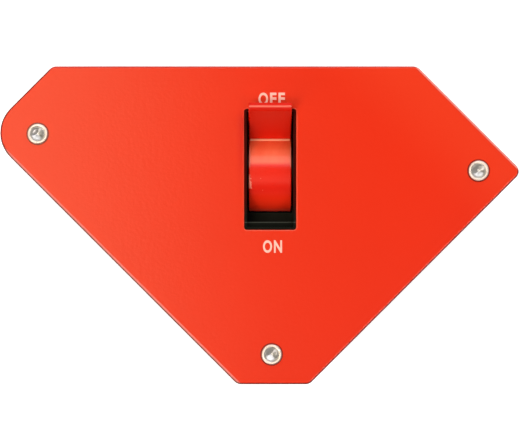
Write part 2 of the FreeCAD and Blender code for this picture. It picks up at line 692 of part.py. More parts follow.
def make_rivet(key):
    """Semi-tubular rivet through both plates, with a dished head at each end."""
    x, y = RIVETS[key]
    body = new_body(f"{key}_rivet", (x, y, PIVOT_Z))
    head = "(body_gap/2+plate_thickness)"
    top = f"({head}+head_height)"
    floor = f"({top}-dish_depth)"
    shank, rim, dish = "shank_diameter/2", "head_diameter/2", "dish_diameter/2"
    upper = [("0", floor), ("pit_diameter/2", floor), (dish, f"{top}-head_round"),
             (f"{dish}+head_round", top), (f"{rim}-head_round", top), (rim, f"{top}-head_round"),
             (rim, head), (shank, head)]
    lower = [(radius, f"-({height})") for radius, height in reversed(upper)]
    turn(body, outline(new_sketch(body, f"{key}_rivet_half", "XZ_Plane"), upper + lower), "V_Axis")
    return body


def make_spacer(key):
    """Tube that keeps the plates apart round a rivet."""
    x, y = RIVETS[key]
    body = new_body(f"{key}_spacer_tube", (x, y, REAR_INNER))
    ring = new_sketch(body, f"{key}_spacer_ring")
    circle(ring, "spacer_diameter/2", "0", "0")
    circle(ring, "shank_diameter/2+rivet_clearance")
    pad(body, ring, "body_gap")
    return body


def make_detent():
    """Steel ball and the coil spring that presses it against the left carrier."""
    ball = doc.addObject("Part::Sphere", "detent_ball")
    bind(ball, "Radius", "ball_diameter/2")
    line = (f"{PIVOT_Y}+ball_reach", PIVOT_Z)
    for axis, formula in zip("xyz", (f"pivot_shift-{BALL_X}", *line)):
        bind(ball, f".Placement.Base.{axis}", formula)
    turned = FreeCAD.Rotation(FreeCAD.Vector(0, 1, 0), -QUARTER)
    spring = new_body("detent_spring", (f"pivot_shift-{COIL_START}", *line), turned)
    wire = new_sketch(spring, "spring_wire_section", "XZ_Plane")
    circle(wire, "spring_wire/2", COIL_RADIUS)
    coil = spring.newObject("PartDesign::AdditiveHelix", "spring_coil")
    coil.Profile = wire
    coil.ReferenceAxis = (wire, ["V_Axis"])
    coil.Mode = "height-turns-angle"
    bind(coil, "Height", "spring_travel")
    bind(coil, "Turns", "spring_turns")
    return [ball, spring]


def build_all():
    pieces = [
        make_plate("front_plate", FRONT_INNER, "plate_thickness", slotted=True),
        make_plate("rear_plate", "head_height", "0", slotted=False),
        make_slot_frame(),
        make_lever(),
    ]
    rear = make_core("rear_core", REAR_INNER, "0", reverse=False, peg=True)
    finish_rear_core(rear)
    front = make_core("front_core", PIVOT_Z, "body_gap/2", reverse=True, peg=False)
    finish_front_core(front)
    pieces += [rear, front]
    for side, sign, spin in (("left", "-", 2 * QUARTER), ("right", "+", 0)):
        pieces += [
            make_carrier(f"{side}_magnet_carrier", spin, with_detent=side == "left"),
            make_magnet(f"{side}_magnet", sign),
            make_pole_cap(f"{side}_upper_pole_cap", sign, 0),
            make_pole_cap(f"{side}_lower_pole_cap", sign, 2 * QUARTER),
            make_pole_shoe(f"{side}_rear_pole_shoe", sign, 0),
            make_pole_shoe(f"{side}_front_pole_shoe", sign, 2 * QUARTER),
            make_bush(f"{side}_bush", sign),
            make_roll_pin(f"{side}_roll_pin", sign),
        ]
    for key in RIVETS:
        pieces += [make_rivet(key), make_spacer(key)]
    return pieces + make_detent()


pieces = build_all()
doc.recompute()
for thing in doc.Objects:
    if {"Invalid", "Error"} & set(thing.State):
        raise ValueError(f"{thing.Label} failed: {thing.State}")
    if thing.TypeId == "Sketcher::SketchObject" and not thing.FullyConstrained:
        raise ValueError(f"{thing.Label} is not fully constrained")
for piece in pieces:
    if piece.Shape.isNull() or not piece.Shape.isValid() or not piece.Shape.Solids:
        raise ValueError(f"{piece.Label} has no valid shape")
    piece.Shape.exportStep(f"parts/{piece.Label}.step")
    box = piece.Shape.BoundBox
    print(f"{piece.Label:24s} {piece.Shape.Volume:10.1f} mm3  x {box.XMin:7.2f} {box.XMax:7.2f}"
          f"  y {box.YMin:7.2f} {box.YMax:7.2f}  z {box.ZMin:6.2f} {box.ZMax:6.2f}")
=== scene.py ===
import math
import bmesh
import bpy
from mathutils import Matrix, Vector


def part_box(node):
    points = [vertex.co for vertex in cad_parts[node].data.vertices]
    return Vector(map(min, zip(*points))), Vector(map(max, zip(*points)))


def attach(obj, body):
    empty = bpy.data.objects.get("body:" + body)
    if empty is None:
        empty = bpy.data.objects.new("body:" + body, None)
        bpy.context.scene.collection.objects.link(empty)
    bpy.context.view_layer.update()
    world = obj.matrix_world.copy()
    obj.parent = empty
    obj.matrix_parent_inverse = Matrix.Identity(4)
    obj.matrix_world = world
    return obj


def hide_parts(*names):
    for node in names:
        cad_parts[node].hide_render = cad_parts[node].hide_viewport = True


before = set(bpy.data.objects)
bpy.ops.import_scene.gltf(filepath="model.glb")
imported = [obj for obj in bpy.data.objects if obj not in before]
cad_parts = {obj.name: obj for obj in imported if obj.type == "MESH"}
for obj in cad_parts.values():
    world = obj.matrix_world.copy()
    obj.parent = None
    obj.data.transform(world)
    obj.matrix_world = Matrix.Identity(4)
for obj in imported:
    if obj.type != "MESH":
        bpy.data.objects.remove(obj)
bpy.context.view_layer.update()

# ---- Camera, floor and studio light -------------------------------------------------------------
# The holder lies on its back on a white table and is seen from straight above through a long lens.
# A softbox and a low card stand past its top edge, a broad pale panel hangs over its left end, two
# boxes stand at opposite corners, and two small fills hang past its foot.
MM = 0.001
CAMERA_HEIGHT = 0.75
CAMERA_AIM = (0.18 * MM, 4.69 * MM)
SEEN_WIDTH = 0.19037
scene = bpy.context.scene
scene.view_settings.view_transform = "Standard"

plate_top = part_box("front_plate")[1].z
camera_data = bpy.data.cameras.new("camera")
camera_data.sensor_width = 36.0
camera_data.lens = camera_data.sensor_width * CAMERA_HEIGHT / SEEN_WIDTH
camera_data.clip_start = 0.01
camera = bpy.data.objects.new("camera", camera_data)
camera.location = (*CAMERA_AIM, plate_top + CAMERA_HEIGHT)
scene.collection.objects.link(camera)
scene.camera = camera


def soft_light(name, place, size, power, colour=(1, 1, 1), target=(0, 0, 0.02)):
    """A rectangular softbox that faces a target, by default the middle of the holder."""
    data = bpy.data.lights.new(name, "AREA")
    data.color = colour
    data.shape = "RECTANGLE"
    data.size, data.size_y = size
    data.energy = power
    light = bpy.data.objects.new(name, data)
    light.location = place
    light.rotation_euler = (Vector(target) - Vector(place)).to_track_quat("-Z", "Y").to_euler()
    scene.collection.objects.link(light)


# Places and sizes are in metres and powers in watts.
WARM = (1.0, 0.92, 0.84)
YELLOWISH = (0.84, 0.74, 0.42)
UNDER_PANEL = (-0.53, -0.05, 0.0)
soft_light("top_softbox", (0.0, 0.68, 0.84), (1.0, 0.55), 3.7)
soft_light("low_back_card", (0.0, 1.05, 0.42), (1.5, 0.4), 1.5)
soft_light("upper_right_box", (0.68, 0.62, 0.62), (0.7, 0.6), 2.7)
soft_light("lower_left_box", (-0.66, -0.66, 0.62), (0.5, 0.9), 2.4, WARM)
soft_light("overhead_panel", (-0.53, -0.05, 1.55), (0.8, 1.6), 12.0, YELLOWISH, target=UNDER_PANEL)
soft_light("left_high_fill", (-0.47, -0.36, 1.15), (0.4, 0.4), 3.5, WARM)
soft_light("right_high_fill", (0.47, -0.36, 1.15), (0.4, 0.4), 3.5, WARM)


def ramp(source, low, high, unit=MM):
    """Nought at one value and full at another, with a soft step between.  The values are in
    millimetres unless another unit is given."""
    tree = source.id_data
    step = tree.nodes.new("ShaderNodeMapRange")
    step.interpolation_type = "SMOOTHSTEP"
    step.inputs["From Min"].default_value = low * unit
    step.inputs["From Max"].default_value = high * unit
    tree.links.new(source, step.inputs["Value"])
    return step.outputs["Result"]


def worked(operation, first, second=None):
    """Two values through one sum, product, maximum or the like.  Either may be a plain number."""
    tree = next(value.id_data for value in (first, second) if isinstance(value, bpy.types.NodeSocket))
    maths = tree.nodes.new("ShaderNodeMath")
    maths.operation = operation
    for socket, value in zip(maths.inputs, (first, second)):
        if isinstance(value, bpy.types.NodeSocket):
            tree.links.new(value, socket)
        elif value is not None:
            socket.default_value = value
    return maths.outputs[0]


def coated(base, colour, share):
    """A colour laid over a base, as thickly as a share from nought to one says."""
    tree = share.id_data
    mix = tree.nodes.new("ShaderNodeMix")
    mix.data_type = "RGBA"
    mix.inputs["B"].default_value = (*colour, 1)
    if isinstance(base, tuple):
        mix.inputs["A"].default_value = (*base, 1)
    else:
        tree.links.new(base, mix.inputs["A"])
    tree.links.new(share, mix.inputs["Factor"])
    return mix.outputs["Result"]


# The studio round the table is pale near the floor and dark above the camera, with a white backdrop.
world = bpy.data.worlds.new("studio")
world.use_nodes = True
tree = world.node_tree
sky = tree.nodes.new("ShaderNodeTexCoord")
height = tree.nodes.new("ShaderNodeSeparateXYZ")
path = tree.nodes.new("ShaderNodeLightPath")
tree.links.new(sky.outputs["Generated"], height.inputs["Vector"])
studio = coated((0.26, 0.25, 0.24), (0.04, 0.035, 0.03), ramp(height.outputs["Z"], 0.15, 0.95, unit=1))
backdrop = coated(studio, (1, 1, 1), path.outputs["Is Camera Ray"])
tree.links.new(backdrop, tree.nodes["Background"].inputs["Color"])
scene.world = world


def new_material(name, roughness):
    """A new material with an even gloss, its tree and its shader."""
    material = bpy.data.materials.new(name)
    material.use_nodes = True
    tree = material.node_tree
    shader = tree.nodes["Principled BSDF"]
    shader.inputs["Roughness"].default_value = roughness
    return material, tree, shader


# The table top glows a little to the eye alone, so that it looks white and still takes the shadow.
TABLE_COLOUR = (0.78, 0.82, 0.88)
TABLE_GLOW = 0.62
TABLE_HALF = 2.0
white_table, tree, shader = new_material("white_table", 0.9)
shader.inputs["Base Color"].default_value = (*TABLE_COLOUR, 1)
path = tree.nodes.new("ShaderNodeLightPath")
glow = tree.nodes.new("ShaderNodeEmission")
total = tree.nodes.new("ShaderNodeAddShader")
tree.links.new(worked("MULTIPLY", path.outputs["Is Camera Ray"], TABLE_GLOW), glow.inputs["Strength"])
tree.links.new(shader.outputs[0], total.inputs[0])
tree.links.new(glow.outputs[0], total.inputs[1])
tree.links.new(total.outputs[0], tree.nodes["Material Output"].inputs["Surface"])
floor_mesh = bpy.data.meshes.new("floor")
bm = bmesh.new()
bmesh.ops.create_grid(bm, x_segments=1, y_segments=1, size=TABLE_HALF)
bm.to_mesh(floor_mesh)
bm.free()
floor = bpy.data.objects.new("floor", floor_mesh)
scene.collection.objects.link(floor)
floor.data.materials.append(white_table)

# ---- Pole plates --------------------------------------------------------------------------------
# Two laser-cut plates of 3 mm steel, powder-coated a glossy orange-red on every face and edge and
# riveted over the core.  The baked coat has a faint orange peel and a slightly uneven colour.
# The middle of the holder's thickness and of the slot are in millimetres, as are the ramps' values.
MIDDLE = 18.3
SLOT_X, SLOT_Y = 3.9, 20.5
FULL_COAT, PAINTED_SLOT_SHADE, PAINTED_LIGHT_COAT = (0.76, 0.0215, 0.0008), (0.62, 0.006, 0.001), (0.77, 0.038, 0.008)
PAINTED_EDGE_SHADE, PAINTED_SLOT_HIGHLIGHT, PAINTED_ROLL_HIGHLIGHT = (0.12, 0.008, 0.006), (0.95, 0.15, 0.08), (0.9, 0.3, 0.26)


def noise(tree, scale, detail=2.0, stretch=None):
    """A soft random pattern that stays fixed to the piece."""
    place = tree.nodes.new("ShaderNodeTexCoord").outputs["Object"]
    if stretch:
        mapping = tree.nodes.new("ShaderNodeMapping")
        mapping.inputs["Scale"].default_value = stretch
        tree.links.new(place, mapping.inputs["Vector"])
        place = mapping.outputs["Vector"]
    pattern = tree.nodes.new("ShaderNodeTexNoise")
    pattern.inputs["Scale"].default_value = scale
    pattern.inputs["Detail"].default_value = detail
    tree.links.new(place, pattern.inputs["Vector"])
    return pattern.outputs["Fac"]


def bumped(shader, height, strength=1.0, distance=1.0):
    """Raise a surface by a height, over the bumps that it has already."""
    tree = shader.id_data
    bump = tree.nodes.new("ShaderNodeBump")
    bump.inputs["Strength"].default_value = strength
    bump.inputs["Distance"].default_value = distance
    tree.links.new(height, bump.inputs["Height"])
    if shader.inputs["Normal"].links:
        tree.links.new(shader.inputs["Normal"].links[0].from_socket, bump.inputs["Normal"])
    tree.links.new(bump.outputs["Normal"], shader.inputs["Normal"])


def powder_coat(name, colour, peel_scale=900.0, peel_strength=0.55):
    """Glossy baked powder: faint tone patches and orange peel under an even gloss."""
    material, tree, shader = new_material(name, 0.24)
    deeper = (colour[0] * 0.93, colour[1] * 0.86, colour[2] * 0.86)
    tree.links.new(coated(colour, deeper, noise(tree, 22.0, 3.0)), shader.inputs["Base Color"])
    bumped(shader, noise(tree, peel_scale), peel_strength, 0.06 * MM)
    return material, tree, shader


def dress(node, material):
    """Give a CAD node its finish."""
    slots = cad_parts[node].data.materials
    if len(slots):
        for index in range(len(slots)):
            slots[index] = material
    else:
        slots.append(material)


def axes(tree):
    """How far each point of a piece lies along X, Y and Z."""
    place = tree.nodes.new("ShaderNodeTexCoord")
    spot = tree.nodes.new("ShaderNodeSeparateXYZ")
    tree.links.new(place.outputs["Object"], spot.inputs["Vector"])
    return spot.outputs["X"], spot.outputs["Y"], spot.outputs["Z"]


def apart(value, mark):
    """How far a value is from a mark in millimetres, to either side."""
    return worked("ABSOLUTE", worked("SUBTRACT", value, mark * MM))


def product(first, *others):
    """Several values multiplied together."""
    for value in others:
        first = worked("MULTIPLY", first, value)
    return first


def most(first, *others):
    """The greatest of several values."""
    for value in others:
        first = worked("MAXIMUM", first, value)
    return first


def band(source, start, full, fading, gone):
    """Full between two of four values in millimetres, with a soft step at each side."""
    return product(ramp(source, start, full), ramp(source, gone, fading))


def edge_distance(x, y, angle):
    """How far inside the plate's straight edge that faces an angle."""
    across = (math.cos(math.radians(angle)), math.sin(math.radians(angle)))
    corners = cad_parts["front_plate"].data.vertices
    reach = max(corner.co.x * across[0] + corner.co.y * across[1] for corner in corners)
    along = worked("ADD", product(x, across[0]), product(y, across[1]))
    return worked("SUBTRACT", reach, along)


def rivet_axis(low, high):
    """The middle of a rivet, from above."""
    return (low.x + high.x) / 2, (low.y + high.y) / 2


# Painted shade: the coat is painted darker on the turn of each outer edge and in a ring round
# each rivet, where shade falls.
red_coat, tree, shader = powder_coat("red_powder_coat", FULL_COAT)
full_coat = shader.inputs["Base Color"].links[0].from_socket
x, y, z = axes(tree)
level = apart(z, MIDDLE)
from_slot_x, from_slot_y = apart(x, SLOT_X), apart(y, SLOT_Y)
away_from_slot = most(ramp(from_slot_x, 12, 13), ramp(from_slot_y, 25, 26))
painted_shade = product(band(level, 16.2, 16.6, 17.42, 17.47), away_from_slot)
flat = tree.nodes.new("ShaderNodeCombineXYZ")
tree.links.new(x, flat.inputs["X"])
tree.links.new(y, flat.inputs["Y"])
for key in ("nose", "tip", "foot"):
    low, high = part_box(f"{key}_rivet")
    gap = tree.nodes.new("ShaderNodeVectorMath")
    gap.operation = "DISTANCE"
    gap.inputs[1].default_value = (*rivet_axis(low, high), 0)
    tree.links.new(flat.outputs[0], gap.inputs[0])
    painted_shade = most(painted_shade, ramp(gap.outputs["Value"], 4.35, 3.95))

# The shears rolled two of the long edges over, and these catch the light beyond their own rounding.
ROLL_SLOPE = -0.42
UPPER_ROLL, LOWER_ROLL = 0.85, 1.25
upper_right, lower_left = edge_distance(x, y, 45), edge_distance(x, y, 225)
upper_rolled = most(worked("SUBTRACT", UPPER_ROLL * MM, upper_right), 0.0)
lower_rolled = most(worked("SUBTRACT", LOWER_ROLL * MM, lower_left), 0.0)
bumped(shader, product(worked("ADD", upper_rolled, lower_rolled), ROLL_SLOPE))

# Painted shade darkens a faint crease inside the upper roll, and is weaker on the top edge.
crease_shade = product(band(upper_right, 0.75, 0.85, 1.0, 1.2), 0.22)
painted_shade = most(product(painted_shade, ramp(upper_right, 0.7, 0.9)), crease_shade)
painted_shade = product(painted_shade, most(ramp(edge_distance(x, y, 90), 0.8, 1.6), 0.42))

# Painted shade deepens the colour beside the slot's left side, and a painted highlight pales the
# slot's own edge.
slot_shade = product(band(x, -9.0, -6.2, -5.5, -5.0), ramp(from_slot_y, 24.0, 18.0), ramp(y, 8.0, 32.0))
slot_edge_highlight = product(band(level, 16.9, 17.1, 17.48, 17.499), worked("SUBTRACT", 1.0, away_from_slot))
coat = coated(full_coat, PAINTED_SLOT_SHADE, product(slot_shade, 0.8))
coat = coated(coat, PAINTED_SLOT_HIGHLIGHT, product(slot_edge_highlight, 0.4))

# Painted light makes it lighter towards the upper right, and painted highlights make it palest on the
# two rolled edges.
coat = coated(coat, PAINTED_LIGHT_COAT, product(ramp(upper_right, 30.0, 2.0), 0.75))
upper_highlight = product(ramp(upper_right, UPPER_ROLL, 0.5), 0.75)
lower_highlight = product(ramp(lower_left, 1.3, 1.0), 0.55)
coat = coated(coat, PAINTED_ROLL_HIGHLIGHT, most(upper_highlight, lower_highlight))
# The painted shade on the outer edges, round the rivets and in the crease goes on last.
coat = coated(coat, PAINTED_EDGE_SHADE, product(painted_shade, 0.9))
tree.links.new(coat, shader.inputs["Base Color"])
for plate in ("front_plate", "rear_plate"):
    dress(plate, red_coat)

# ---- OFF and ON words ---------------------------------------------------------------------------
# Bold white ink, pad-printed on the front plate above and below the slot.
# The tab hides the foot of the upper word while the lever is at OFF.
LETTER_HEIGHT = 4.6
INK_DEPTH = 0.02 * MM
INK_THIN, INK_THICK = (0.88, 0.47, 0.42), (0.92, 0.55, 0.49)
OFF_FOOT, ON_FOOT = 43.97, -10.07
OFF_LETTERS = (("O", -0.36, 3.14), ("F", 3.84, 6.19), ("F", 6.92, 9.3))
ON_LETTERS = (("O", 1.28, 4.6), ("N", 5.28, 8.25))
white_ink, tree, shader = new_material("white_ink", 0.4)
tree.links.new(coated(INK_THIN, INK_THICK, noise(tree, 1400.0)), shader.inputs["Base Color"])


def printed_word(name, letters, foot):
    """A word printed on the front plate, letter by letter, each between its left and right limits."""
    pieces = bmesh.new()
    for letter, left, right in letters:
        curve = bpy.data.curves.new(name, "FONT")
        curve.body = letter
        curve.offset = 0.03
        curve.extrude = 0.01
        curve.resolution_u = 8
        source = bpy.data.objects.new(name, curve)
        scene.collection.objects.link(source)
        graph = bpy.context.evaluated_depsgraph_get()
        mesh = bpy.data.meshes.new_from_object(source.evaluated_get(graph))
        bpy.data.objects.remove(source)
        low = Vector([min(vertex.co[axis] for vertex in mesh.vertices) for axis in range(3)])
        high = Vector([max(vertex.co[axis] for vertex in mesh.vertices) for axis in range(3)])
        span = high - low
        size = ((right - left) * MM, LETTER_HEIGHT * MM, INK_DEPTH)
        fit = Matrix.Diagonal((size[0] / span.x, size[1] / span.y, size[2] / span.z, 1))
        place = Matrix.Translation((left * MM, foot * MM, plate_top))
        mesh.transform(place @ fit @ Matrix.Translation(-low))
        pieces.from_mesh(mesh)
        bpy.data.meshes.remove(mesh)
    mesh = bpy.data.meshes.new(name)
    pieces.to_mesh(mesh)
    pieces.free()
    mesh.materials.append(white_ink)
    piece = bpy.data.objects.new(name, mesh)
    scene.collection.objects.link(piece)
    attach(piece, "holder")


printed_word("off_word", OFF_LETTERS, OFF_FOOT)
printed_word("on_word", ON_LETTERS, ON_FOOT)

# ---- Rivets -------------------------------------------------------------------------------------
# Three soft steel rivets, zinc-plated.  A rounded punch has spun each end into a low head: a proud
# rim round a dished hollow, which the punch has left slightly lobed.
def metal(name, colour, roughness, grain=900.0, dent=0.00003):
    """Plain metal with a fine uneven grain that breaks up its gloss."""
    material, tree, shader = new_material(name, roughness)
    marks = noise(tree, grain, 4.0)
    gloss = tree.nodes.new("ShaderNodeMapRange")
    gloss.inputs["To Min"].default_value = roughness * 0.75
    gloss.inputs["To Max"].default_value = roughness * 1.3
    tree.links.new(marks, gloss.inputs["Value"])
    tree.links.new(gloss.outputs["Result"], shader.inputs["Roughness"])
    bumped(shader, marks, 0.4, dent)
    shader.inputs["Metallic"].default_value = 1.0
    shader.inputs["Base Color"].default_value = (*colour, 1)
    return material


def finish_piece(name, bm, material, body):
    """Turn a finished bmesh into a smooth piece that rides on a body."""
    bmesh.ops.remove_doubles(bm, verts=bm.verts, dist=1e-7)
    bmesh.ops.recalc_face_normals(bm, faces=bm.faces)
    for face in bm.faces:
        face.smooth = True
    mesh = bpy.data.meshes.new(name)
    bm.to_mesh(mesh)
    bm.free()
    mesh.materials.append(material)
    piece = bpy.data.objects.new(name, mesh)
    scene.collection.objects.link(piece)
    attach(piece, body)
    return piece


def line_to(bm, last, spot):
    """Draw a straight edge from a point to a spot, and give the point at its end."""
    step = bmesh.ops.extrude_vert_indiv(bm, verts=[last])
    step["verts"][0].co = spot
    return step["verts"][0]


plated_steel = metal("rivet_metal", (0.78, 0.69, 0.66), 0.5, grain=1500.0)
punched_steel = metal("rivet_metal_punched", (0.60, 0.59, 0.60), 0.36, grain=1100.0, dent=0.00002)
HEAD = [(0.0, 34.72), (0.35, 34.75), (0.75, 34.95), (1.2, 35.28), (1.75, 35.5), (2.3, 35.78),
        (2.58, 36.2), (2.72, 36.48), (2.95, 36.58), (3.25, 36.6), (3.5, 36.55), (3.68, 36.38),
        (3.75, 36.1), (3.72, 35.85)]
SHANK = [(2.5, 35.8), (2.5, 0.8)]
DISH_RADIUS, PUNCHED_RADIUS, LOBE_HEIGHT = 2.4, 2.66, 0.10
LOBE_TURN = {"nose": 0.5, "tip": 4.6, "foot": 1.3}
for key in ("nose", "tip", "foot"):
    low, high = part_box(f"{key}_rivet")
    axis_x, axis_y = rivet_axis(low, high)
    back = [(r, 2 * MIDDLE - z) for r, z in reversed(HEAD)]
    profile = [(axis_x + r * MM, axis_y, z * MM) for r, z in HEAD + SHANK + back]
    bm = bmesh.new()
    last = bm.verts.new(profile[0])
    for spot in profile[1:]:
        last = line_to(bm, last, spot)
    bmesh.ops.spin(bm, geom=bm.verts[:] + bm.edges[:], cent=(axis_x, axis_y, 0), axis=(0, 0, 1),
                   angle=math.tau, steps=64, use_merge=True)
    for vertex in bm.verts:
        out = math.hypot(vertex.co.x - axis_x, vertex.co.y - axis_y) / MM
        round_by = math.atan2(vertex.co.y - axis_y, vertex.co.x - axis_x)
        if out < DISH_RADIUS:
            lobe = math.sin(3 * round_by + LOBE_TURN[key]) * math.sin(math.pi * out / DISH_RADIUS)
            vertex.co.z += LOBE_HEIGHT * MM * lobe * (1 if vertex.co.z > MIDDLE * MM else -1)
    for face in bm.faces:
        middle = face.calc_center_median()
        out = math.hypot(middle.x - axis_x, middle.y - axis_y)
        face.material_index = int(out < PUNCHED_RADIUS * MM)
    rivet = finish_piece(f"{key}_rivet_spun", bm, plated_steel, "holder")
    rivet.data.materials.append(punched_steel)
    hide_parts(f"{key}_rivet")

# ---- Switch lever -------------------------------------------------------------------------------
# One red moulding: a three-quarter drum that shows in the slot, a bead across it, and a curved tab
# that stands out for the thumb.  Square spigots at its sides key into the two magnet carriers.
PIVOT = Vector((SLOT_X, 19.4, MIDDLE)) * MM
HALF_WIDTH = 7.85 * MM
FRESH_RED, PAINTED_LIGHT_RED, LIP_HIGHLIGHT = (0.80, 0.011, 0.0015), (1.0, 0.03, 0.008), (1.0, 0.40, 0.26)
THUMBED_AND_LIT, CHIPPED_AND_LIT = (0.98, 0.15, 0.06), (1.0, 0.25, 0.19)
lever_red, tree, shader = powder_coat("red_lever", FRESH_RED, peel_scale=500.0, peel_strength=0.4)
fresh = shader.inputs["Base Color"].links[0].from_socket
x, y, z = axes(tree)

# Thumbs have rubbed the drum between the bead and its crown, and painted light pales that band in
# streaks where the tab keeps the lamps off.  The crown itself carries a painted highlight.
streaks = noise(tree, 260.0, 5.0, stretch=(1.0, 0.35, 0.35))
rubbed_and_lit = product(band(y, 21.9, 23.6, 31.4, 31.6), ramp(streaks, -0.6, 0.9, unit=1))
crown_highlight = product(band(y, 24.6, 25.4, 27.4, 28.4), ramp(streaks, 0.1, 0.75, unit=1))

# The left edge is chipped, more and more towards its foot, and the face has two small nicks.
CHIP_SLOPE, CHIP_TOP, CHIP_EDGE = 0.22, 18.8, -3.75
widening = product(worked("SUBTRACT", CHIP_TOP * MM, y), CHIP_SLOPE)
ragged = product(worked("SUBTRACT", noise(tree, 1300.0), 0.5), 2.6 * MM)
limit = worked("ADD", worked("ADD", widening, ragged), CHIP_EDGE * MM)
marks = product(band(y, 13.4, 13.7, 17.8, 19.4), ramp(worked("SUBTRACT", x, limit), 0.15, -0.15))
for nick_x, nick_y, nick_size in ((0.40, 17.2, 0.34), (1.15, 12.9, 0.30)):
    from_nick = worked("ADD", apart(x, nick_x), apart(y, nick_y))
    marks = most(marks, product(ramp(from_nick, nick_size, 0.1), 0.45))

# Painted highlights pale the tab's rolled tip, the drum's two ends beside the crown and its lower
# edge.
tip_highlight = product(ramp(z, 43.62, 43.85), 0.6)
end_highlight = product(ramp(apart(x, SLOT_X), 7.15, 7.6), band(y, 20.5, 22.5, 27.5, 30.0), 0.9)
foot_highlight = product(ramp(y, 6.5, 5.7), 0.1)
# The real chips and nicks share one pale colour with these painted highlights and the crown's.
marks = most(product(crown_highlight, 0.16), marks, tip_highlight, end_highlight, foot_highlight)
# Painted light: the drum is painted brighter red towards its foot, where the slot shades it.
coat = coated(fresh, PAINTED_LIGHT_RED, ramp(y, 14.0, 8.0))
coat = coated(coat, THUMBED_AND_LIT, product(rubbed_and_lit, 0.95))
coat = coated(coat, CHIPPED_AND_LIT, marks)
tree.links.new(coat, shader.inputs["Base Color"])
# The bead's pale coat is a painted highlight.
lip_highlight = powder_coat("red_lever_bead_highlight", LIP_HIGHLIGHT, peel_strength=0.4)[0]


def side_spot(rise, reach, across=-HALF_WIDTH):
    """A point on the lever's side: rise up the plate and reach out of it, both from the pivot."""
    return PIVOT + Vector((across, rise * MM, reach * MM))


def swung(last, centre, angle, steps):
    """Carry a line on round a centre by an angle, counted from up the plate towards the front."""
    turn = bmesh.ops.spin(bm, geom=[last], cent=centre, axis=(1, 0, 0), angle=angle, steps=steps)
    return [part for part in turn["geom_last"] if isinstance(part, bmesh.types.BMVert)][0]


def heading(rise, reach):
    """The angle at which a point lies from the pivot, counted in the same way."""
    return math.atan2(reach, rise)


# The side is drawn as one line: up the drum's face to the lip, out along the tab and back, then
# round the drum's rear and its hub.  Each radius and corner is in millimetres from the pivot.
STOP = 2.3
FACE_RADIUS, FACE_DROP, DRUM_RADIUS, HUB_RADIUS, TAB_RADIUS = 14.2, 0.35, 14.2, 8.0, 74.0
LIP_RISE, RIM_ROUND = 11.95, 0.45 * MM
drum_end = (-FACE_DROP - math.sqrt(FACE_RADIUS ** 2 - STOP ** 2), STOP)
drum_lip = (LIP_RISE, math.sqrt(FACE_RADIUS ** 2 - (LIP_RISE + FACE_DROP) ** 2))
drum_root = (13.6, 4.08)
drum_foot = (STOP, -math.sqrt(DRUM_RADIUS ** 2 - STOP ** 2))
hub_foot = (STOP, -math.sqrt(HUB_RADIUS ** 2 - STOP ** 2))
hub_end = (-math.sqrt(HUB_RADIUS ** 2 - STOP ** 2), STOP)
tab_foot, tab_tip, tab_edge, tab_back = (12.85, 6.9), (22.35, 24.6), (23.85, 25.8), (25.35, 23.0)
tab_root = (15.1, 6.0)
tab_centre = (tab_foot[0] + tab_tip[0]) / 2, (tab_foot[1] + tab_tip[1]) / 2
chord = Vector((tab_tip[0] - tab_foot[0], tab_tip[1] - tab_foot[1]))
half = chord.length / 2
away = Vector((-chord.y, chord.x)).normalized() * math.sqrt(TAB_RADIUS ** 2 - half ** 2)
face_turn = heading(drum_lip[0] + FACE_DROP, drum_lip[1]) - heading(drum_end[0] + FACE_DROP, STOP)

bm = bmesh.new()
first = bm.verts.new(side_spot(*drum_end))
last = swung(first, side_spot(-FACE_DROP, 0), face_turn, steps=60)
last = line_to(bm, last, side_spot(*tab_foot))
bend_centre = side_spot(tab_centre[0] + away.x, tab_centre[1] + away.y)
last = face_end = swung(last, bend_centre, 2 * math.asin(half / TAB_RADIUS), steps=16)
last = front_tip = line_to(bm, last, side_spot(*tab_edge))
last = back_tip = line_to(bm, last, side_spot(*tab_back))
last = line_to(bm, last, side_spot(*tab_root))
last = line_to(bm, last, side_spot(*drum_root))
last = swung(last, PIVOT, heading(*drum_foot) - heading(*drum_root), steps=40)
last = line_to(bm, last, side_spot(*hub_foot))
last = swung(last, PIVOT, heading(*hub_end) - math.tau - heading(*hub_foot), steps=40)
bm.edges.new((last, first))
bmesh.ops.contextual_create(bm, geom=bm.edges[:])
for tip, cut in ((face_end, 1.0 * MM), (front_tip, 0.4 * MM), (back_tip, 0.42 * MM)):
    bmesh.ops.bevel(bm, geom=[tip], offset=cut, offset_type="OFFSET", affect="VERTICES",
                    segments=8, profile=0.5, material=-1, clamp_overlap=False)
raised = bmesh.ops.extrude_face_region(bm, geom=bm.faces[:])
moved = [part for part in raised["geom"] if isinstance(part, bmesh.types.BMVert)]
bmesh.ops.translate(bm, verts=moved, vec=(2 * HALF_WIDTH, 0, 0))
rims = {edge for face in bm.faces if len(face.verts) > 8 for edge in face.edges}
bmesh.ops.bevel(bm, geom=list(rims), offset=RIM_ROUND, offset_type="OFFSET", affect="EDGES",
                segments=5, profile=0.5, material=-1, clamp_overlap=False)
SPIGOT_SIZE, SPIGOT_LENGTH = 12.0, 23.4
spigots = bmesh.ops.create_cube(bm, size=SPIGOT_SIZE * MM)["verts"]
bmesh.ops.scale(bm, vec=(SPIGOT_LENGTH / SPIGOT_SIZE, 1, 1), verts=spigots)
bmesh.ops.translate(bm, vec=PIVOT, verts=spigots)
lever = finish_piece("switch_lever_moulding", bm, lever_red, "rotor")
weighted = lever.modifiers.new("even_shading", "WEIGHTED_NORMAL")
weighted.keep_sharp = True

